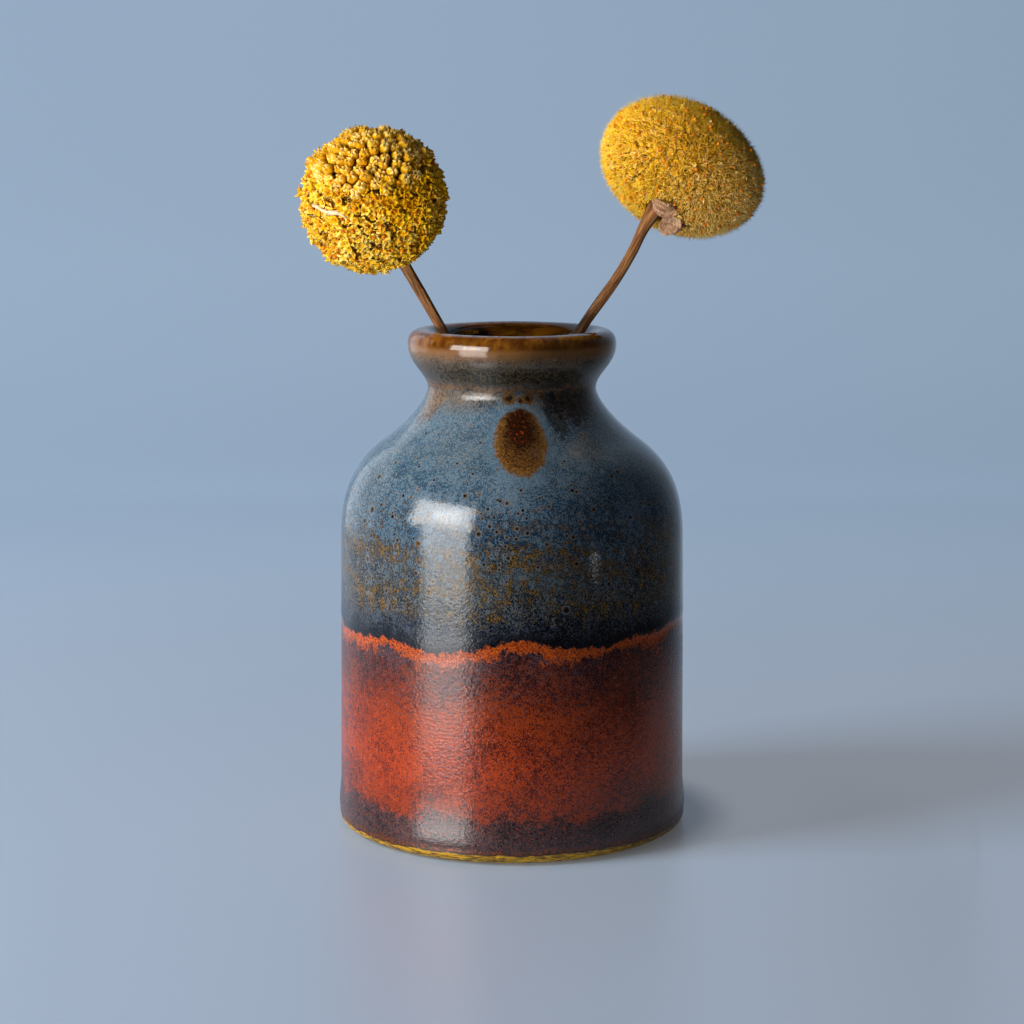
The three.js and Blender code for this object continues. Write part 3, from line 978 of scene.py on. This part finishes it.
def build_left_head():
    """A round head: closed buds towards the top, open florets over the rest, orange anthers in them."""
    places, normals, unit = head_points("left", count=520, sink=1.75, wander=0.16)
    closed = normals @ UPPER_FRONT + RNG.normal(0, 0.05, len(normals)) > 0.60
    knobs = closed & around_opening("left", unit)
    buds = add_scatter("left_closed_buds", "left", bud_templates(), places[knobs],
                       jitter(normals[knobs], 0.07), width=1.92, height=2.30, width_spread=0.11,
                       height_spread=0.10)
    buds.data.materials.append(floret_material(
        "bud_petals", gap_shade=(0.22, 0.068, 0.001), mid=(0.60, 0.25, 0.002), light=(0.80, 0.43, 0.006),
        tip=(0.91, 0.66, 0.22), tip_from=0.91))

    profile = [(0, 0, 0), (0.22, 0.1, 0), (0.34, 0.68, 0.4), (0.62, 0.98, 1.0), (0.40, 0.92, 1.0),
               (0.20, 0.62, 0.2), (0, 0.5, 0)]
    places, normals, unit = head_points("left", count=900, sink=1.50, wander=0.28)
    opened = normals @ UPPER_FRONT + RNG.normal(0, 0.05, len(normals)) < 0.66
    cups = opened & around_opening("left", unit)
    directions = jitter(normals[cups], 0.16)
    templates = cup_templates(profile, segments=14, lobe_depth=0.24, crumple=0.055)
    florets = add_scatter("left_open_florets", "left", templates, places[cups], directions,
                          width=1.62, height=1.80, width_spread=0.18, height_spread=0.20)
    florets.data.materials.append(floret_material(
        "open_petals", gap_shade=(0.38, 0.125, 0.001), mid=(0.70, 0.31, 0.001), light=(0.92, 0.52, 0.002),
        tip=(0.95, 0.70, 0.18), tip_from=1.03))
    build_anthers("left", places[cups], directions, lift=1.38, size=0.62, share=0.36)
    build_bristles("left", count=26000, sink=1.85, length=1.75)
    build_loose_petal()


def build_right_head():
    """A broad low head of fine open florets thick with bristles, frayed along its lower edge."""
    profile = [(0, 0, 0), (0.22, 0.2, 0), (0.40, 0.76, 0.6), (0.64, 1.0, 1.0), (0.34, 0.84, 0.5),
               (0, 0.5, 0)]
    places, normals, unit = head_points("right", count=2900, sink=1.72, wander=0.25)
    keep = around_opening("right", unit)
    directions = jitter(normals[keep], 0.26)
    templates = cup_templates(profile, segments=6, lobe_depth=0.42, crumple=0.07)
    florets = add_scatter("right_open_florets", "right", templates, places[keep], directions,
                          width=0.74, height=1.25, width_spread=0.20, height_spread=0.22)
    florets.data.materials.append(floret_material(
        "fine_petals", gap_shade=(0.55, 0.220, 0.002), mid=(0.82, 0.40, 0.003), light=(0.92, 0.55, 0.006),
        tip=(0.94, 0.68, 0.28), tip_from=0.98))
    build_anthers("right", places[keep], directions, lift=1.50, size=0.58, share=0.17)
    build_bristles("right", count=44000, sink=1.25, length=1.85)


def build_anthers(side, places, directions, lift, size, share):
    """Orange beads in a share of the open florets, lifted above the florets' roots by so many mm."""
    some = RNG.uniform(0, 1, len(places)) < share
    lifted = places[some] + directions[some] * lift * MM
    beads = add_scatter(f"{side}_anthers", side, bead_template(), lifted, directions[some],
                        width=size, height=size * 1.2, width_spread=0.2, height_spread=0.2)
    g = Graph(f"{side}_anther_orange")
    mottle = g.noise(g.place(), 0.3, 3.0)
    colour = g.mix(0.8 * g.attribute("tone") + 0.2 * mottle, (0.42, 0.10, 0.002), (0.90, 0.30, 0.004))
    beads.data.materials.append(g.finish(colour, 0.3 * mottle + 0.5, g.bump(mottle, 0.03), specular=0.2))


def build_bristles(side, count, sink, length):
    """Straw-coloured bristles between the florets, a little proud of them, which fray the outline."""
    places, normals, unit = head_points(side, count, sink, 0.5)
    keep = around_opening(side, unit)
    if side == "left":
        keep &= normals @ UPPER_FRONT < 0.60
    leaning = jitter(normals[keep], 0.42)
    hairs = add_scatter(f"{side}_bristles", side, hair_template(), places[keep], leaning,
                        width=BRISTLE_WIDTH, height=length, width_spread=0.25, height_spread=0.2)
    hairs.data.materials.append(bristle_material(f"{side}_bristle_straw"))


def bristle_material(name):
    """Gold at the root and straw at the tip, cream on the pale side, with brown clouds and rusty strays."""
    g = Graph(name)
    place = g.place()
    tone = g.attribute("tone")
    pale = g.step(g.attribute("pale"), 0.1, 0.9)
    mottle = g.noise(place, 0.8, 3.0)
    cream = g.math("MULTIPLY_ADD", pale, 0.75, 1.4 * tone - 0.70, clamp=True)
    cloud = 0.55 * g.step(g.noise(place, 2.2, 3.0), 0.48, 0.62)
    rusty = g.step(tone, 0.30, 0.10) * (0.5 * pale + 0.4)
    straw = g.mix(cream, (0.96, 0.60, 0.004), (0.95, 0.74, 0.30))
    straw = g.mix(cloud, straw, (0.66, 0.33, 0.010))
    straw = g.mix(rusty, straw, (0.46, 0.18, 0.006))
    root = g.mix(tone, (0.48, 0.18, 0.001), (0.80, 0.40, 0.004))
    colour = g.mix(g.step(g.attribute("level") + 0.3 * mottle, 0.40, 0.95), root, straw)
    return g.finish(colour, 0.2 * mottle + 0.7, g.bump(mottle, 0.02), specular=0.08)


def build_loose_petal():
    """One long withered petal that lies over the left head's open florets."""
    centre, _ = head_frame("left")
    steps = 26
    path = []
    for k in range(steps):
        turn = math.radians(-142 + 34 * k / (steps - 1))
        lift = math.radians(-3 - 8 * k / (steps - 1) + 1.0 * math.sin(k * 0.4))
        out = 13.45 + 0.12 * math.sin(k * 1.7)
        flat = out * math.cos(lift)
        path.append((flat * math.cos(turn), flat * math.sin(turn), out * math.sin(lift)))

    def radius_at(along, angle):
        return (0.12 + 0.30 * math.sin(math.pi * along) ** 0.6) * (1 + 0.25 * np.cos(2 * angle + along * 9))

    vertices, faces, _, _ = tube(path, radius_at, 8)
    petal = make_mesh("left_loose_petal", centre + vertices * MM, faces)
    petal.data.materials.append(plain_grain_material(
        "withered_petal", (0.56, 0.37, 0.15), (0.88, 0.72, 0.46), size=0.4, roughness=0.65))
    FLOWER_PIECES.objects.link(petal)
    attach(petal, "left_flower")
    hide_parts("left_florets")


def build_stem(side):
    """A dry stalk: ribbed lengthwise, slightly knotty, and wider where it meets the head."""
    flower = FLOWERS[side]
    steps = 150
    path = catmull_rom(flower["stem_path"], steps)
    phases = np.random.default_rng(len(side)).uniform(0, 2 * math.pi, 8)
    reach = np.linspace(0, 1, steps)
    wander = np.stack([np.sin(reach * 23 + phases[0]), np.sin(reach * 17 + phases[1]), 0 * reach], 1) * 0.10
    path = path + wander * np.sin(reach * math.pi)[:, None]

    def radius_at(along, angle):
        ribs = 0.055 * np.cos(7 * angle + 5 * along + phases[2])
        ribs = ribs + 0.035 * np.cos(4 * angle - 3 * along + phases[3])
        knots = 0.03 * math.sin(along * 31 + phases[4]) + 0.025 * math.sin(along * 67 + phases[5])
        flare = flower["flare"] * max(0.0, (along - 0.93) / 0.07) ** 1.5
        return STEM_RADIUS * (0.95 + ribs + knots) + flare * (1 + 0.6 * ribs)

    vertices, faces, along, around = tube(path, radius_at, 20)
    stem = make_mesh(f"{side}_stalk", vertices * MM, faces,
                     {"along": along * STEM_LENGTH, "around": around})
    stem.data.materials.append(stalk_material(f"{side}_stalk_bark"))
    FLOWER_PIECES.objects.link(stem)
    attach(stem, f"{side}_flower")
    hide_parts(f"{side}_stem")


def stalk_material(name):
    """Brown bark with pale and dark fibres running lengthwise."""
    g = Graph(name)
    around = g.attribute("around")
    fibre = g.join(2.2 * g.math("COSINE", around), 2.2 * g.math("SINE", around),
                   0.12 * g.attribute("along"))
    streaks = g.noise(fibre, 0.55, 4.0, 0.6)
    patches = g.noise(fibre.stretched(0.4, 0.4, 1.6), 0.8, 3.0)
    colour = g.mix(g.step(streaks, 0.36, 0.64), (0.080, 0.028, 0.008), (0.34, 0.150, 0.052))
    colour = g.mix(0.7 * g.step(streaks, 0.60, 0.70), colour, (0.56, 0.33, 0.15))
    colour = g.mix(0.5 * g.step(patches, 0.5, 0.7), colour, (0.16, 0.060, 0.022))
    return g.finish(colour, 0.25 * streaks + 0.6, g.bump(streaks, 0.14), specular=0.15)


def build_bract(side, index):
    """A papery bract: a cupped leaf with a torn edge and a crease, in its CAD solid's place."""
    flower = FLOWERS[side]
    degrees, length, width, rise, roll, curl, tones = BRACTS[side][index]
    centre, turn = head_frame(side)
    random = np.random.default_rng(70 + index + 10 * len(side))
    rows, columns = 16, 13
    along = np.linspace(0, 1, rows)[:, None]
    across = np.linspace(-1, 1, columns)[None, :]
    half = width / 2 * (0.42 + 0.70 * np.sin(along ** 0.8 * math.pi * 0.82)) * np.sqrt(1.02 - along ** 4)
    torn = 1 + 0.07 * random.normal(size=(1, columns)) * along ** 2
    x = along * length * torn * (1 - 0.12 * across ** 2 * along)
    y = half * across * (1 + 0.05 * random.normal(size=(rows, 1)))
    cup = 0.30 * across ** 2 * width / 2 * (0.4 + along)
    bend = curl * length * np.sin(along * math.pi * random.uniform(0.8, 1.2))
    fold = 0.10 * width * np.abs(across + random.uniform(-0.3, 0.3)) * along
    crease = 0.05 * width * np.cos(across * 7 + random.uniform(0, 3)) * along
    z = cup - bend + crease - fold
    y, z = turned(y, z, roll)
    x, z = turned(x, z, rise)
    local = np.stack([x + flower["bract_start"], y, z - flower["bract_base"]], 2).reshape(-1, 3)
    local[:, 0], local[:, 1] = turned(local[:, 0], local[:, 1], degrees)
    name = f"{side}_bract_{index + 1}"
    leaf = make_mesh(f"{name}_leaf", centre + local @ turn.T * MM, grid_faces(rows, columns, closed=False))
    thickness = leaf.modifiers.new("thickness", "SOLIDIFY")
    thickness.thickness = BRACT_THICKNESS * MM
    thickness.offset = 0
    leaf.data.materials.append(bract_material(f"{name}_paper", *tones))
    FLOWER_PIECES.objects.link(leaf)
    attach(leaf, f"{side}_flower")
    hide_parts(name)


def turned(a, b, degrees):
    """Two coordinates turned about the third, from the first towards the second."""
    angle = math.radians(degrees)
    return a * math.cos(angle) - b * math.sin(angle), a * math.sin(angle) + b * math.cos(angle)


def bract_material(name, dark, light):
    """Papery skin: fine veins and darker stains."""
    g = Graph(name)
    place = g.place()
    veins = g.noise(place.stretched(2.2, 2.2, 0.7), 0.8, 4.0, 0.6)
    colour = g.mix(g.step(veins, 0.35, 0.65), dark, light)
    stained = 0.6 * g.step(g.noise(place, 1.6, 3.0), 0.52, 0.68)
    colour = g.mix(stained, colour, g.shade(dark, 0.6))
    return g.finish(colour, 0.25 * veins + 0.55, g.bump(veins, 0.10), specular=0.2)


# ======================================================================== stage

def build_stage():
    """A pale blue-grey floor that sweeps up into a backdrop."""
    profile = [(-FLOOR_REACH, 0.0), (BEND_START, 0.0)]
    bend_steps = 24
    for k in range(1, bend_steps + 1):
        angle = math.pi / 2 * k / bend_steps
        profile.append((BEND_START + BEND_RADIUS * math.sin(angle), BEND_RADIUS * (1 - math.cos(angle))))
    profile.append((BEND_START + BEND_RADIUS, BACKDROP_TOP))
    vertices = []
    for y, z in profile:
        vertices += [(-FLOOR_REACH, y, z), (FLOOR_REACH, y, z)]
    floor = make_mesh("stage", vertices, grid_faces(len(profile), 2, closed=False))
    floor.data.materials.append(paper_material())


def paper_material():
    """Satin paper with a little glow, which has painted shade where the floor bends up, a painted contact
    shadow where the vase stands, and a painted falloff from left to right.
    """
    g = Graph("pale_paper")
    place = g.place()
    x, y, z = g.split(place)
    paper = g.noise(place, 3.0, 4.0)
    back = g.step(y + z, 20.0, 420.0)
    colour = g.shade(g.mix(back, FLOOR_COLOUR, BACKDROP_COLOUR), 0.05 * paper + 0.975)
    glow = g.mix(back, FLOOR_GLOW, BACKDROP_GLOW)
    # Painted falloff: the glow is a little brighter on the left, towards the key lamp, than on the right.
    glow = g.shade(glow, g.ramp(x, [(-400, 1.04), (0, 1.0), (400, 0.93)], (-400, 400)))
    # Painted shade: the glow dips along the floor near where it bends up.
    glow = g.shade(glow, g.ramp(y + z, PAINTED_GLOW_SHADE, (-100, 700)))
    # Painted contact shadow: the glow falls where the vase stands, a little more to its right.
    aside, behind = x - CONTACT_SHADOW_CENTRE[0], y - CONTACT_SHADOW_CENTRE[1]
    away = g.math("SQRT", aside * aside + behind * behind)
    clear_of_shadow = g.step(away, *CONTACT_SHADOW_REACH) ** 0.7
    g.glow(g.shade(glow, clear_of_shadow * (1 - CONTACT_SHADOW_SHARE) + CONTACT_SHADOW_SHARE), 1.0)
    return g.finish(colour, 0.06 * paper + 0.30, specular=0.35)


def build_flag():
    """A curved black card round the vase's front and right, which only the glaze's reflections see."""
    steps = 40
    vertices = []
    turns = []
    for k in range(steps + 1):
        turn = FLAG_FROM + (FLAG_TO - FLAG_FROM) * k / steps
        angle = math.radians(turn)
        x, y = FLAG_DISTANCE * math.sin(angle), -FLAG_DISTANCE * math.cos(angle)
        vertices += [(x, y, FLAG_FOOT), (x, y, FLAG_HEIGHT)]
        turns += [turn, turn]
    flag = make_mesh("black_flag", vertices, grid_faces(steps + 1, 2, closed=False), {"turn": turns})
    flag.visible_camera = False
    flag.visible_shadow = False
    flag.visible_diffuse = False
    flag.data.materials.append(flag_material())


def flag_material():
    """Black felt, seen from its hollow side only. Towards its far edge it pales, and its foot is clear."""
    g = Graph("black_card")
    place = g.place()
    turn = g.attribute("turn")
    _, _, z = g.split(place)
    felt = g.mix(g.noise(place, 2.0, 3.0), (0.004, 0.004, 0.005), (0.010, 0.010, 0.012))
    pale = g.step(turn, FLAG_FADE, FLAG_TO + 15) ** 1.5
    g.glow(g.mix(pale, (0.0, 0.0, 0.0), BACKDROP_GLOW), 1.2)
    solid = g.math("MAXIMUM", g.step(turn, 100, 70), g.step(z, 5.0, 26.0))
    backfacing = Value(g, g.node("ShaderNodeNewGeometry").outputs["Backfacing"])
    g.link((1.0 - backfacing) * solid, g.shader.inputs["Alpha"])
    return g.finish(felt, 0.9)


def area_light(name, azimuth, elevation, distance, size, radiance, colour, seen_by, aim_height):
    """A flat lamp that aims at the vase's axis, seen by "glossy" or by "diffuse" rays."""
    a, e = math.radians(azimuth), math.radians(elevation)
    aim = Vector((0, 0, aim_height))
    place = aim + distance * Vector((math.sin(a) * math.cos(e), -math.cos(a) * math.cos(e), math.sin(e)))
    light = bpy.data.lights.new(name, "AREA")
    light.shape = "RECTANGLE"
    light.size, light.size_y = size
    light.energy = radiance * math.pi * size[0] * size[1]
    light.color = colour
    lamp = bpy.data.objects.new(name, light)
    lamp.location = place
    lamp.rotation_euler = (aim - place).to_track_quat("-Z", "Y").to_euler()
    lamp.visible_camera = False
    lamp.visible_glossy = seen_by == "glossy"
    lamp.visible_diffuse = seen_by == "diffuse"
    bpy.context.scene.collection.objects.link(lamp)
    return lamp


def build_lights():
    """A dim room, the lamps, of which one lights the flowers only, and the softbox in the glaze."""
    world = bpy.data.worlds.new("dim_room")
    world.use_nodes = True
    background = world.node_tree.nodes["Background"]
    background.inputs["Color"].default_value = (*ROOM_COLOUR, 1)
    background.inputs["Strength"].default_value = ROOM_STRENGTH
    bpy.context.scene.world = world
    lamps = {name: area_light(name, *settings) for name, settings in LAMPS.items()}
    lamps["head_fill"].light_linking.receiver_collection = FLOWER_PIECES
    for number, (azimuth, distance, width, low, high, radiance) in enumerate(SOFTBOX_STRIPS):
        area_light(f"softbox_{number}", azimuth, 0, distance, (width, high - low), radiance,
                   SOFTBOX_COLOUR, "glossy", (low + high) / 2)


def build_camera():
    camera = bpy.data.cameras.new("camera")
    camera.lens = CAMERA_LENS
    camera.sensor_width = 36
    camera.clip_start = 0.01
    viewer = bpy.data.objects.new("camera", camera)
    viewer.location = (0, -CAMERA_DISTANCE, CAMERA_HEIGHT)
    viewer.rotation_euler = (math.radians(90 - CAMERA_PITCH), 0, 0)
    bpy.context.scene.collection.objects.link(viewer)
    bpy.context.scene.camera = viewer
    bpy.context.scene.view_settings.view_transform = "Standard"


# ======================================================================== assembly

build_camera()
build_stage()
build_flag()
build_lights()

vase = build_vase()
vase.data.materials.append(glaze_material())
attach(vase, "vase")
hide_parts("vase_body")

core_pith = plain_grain_material(
    "core_pith", (0.120, 0.050, 0.004), (0.300, 0.140, 0.010), size=0.7, roughness=0.75)
for flower_side in FLOWERS:
    build_stem(flower_side)
    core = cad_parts[f"{flower_side}_receptacle"]
    core.data.materials.clear()
    core.data.materials.append(core_pith)
    for bract_index in range(len(BRACTS[flower_side])):
        build_bract(flower_side, bract_index)
build_left_head()
build_right_head()
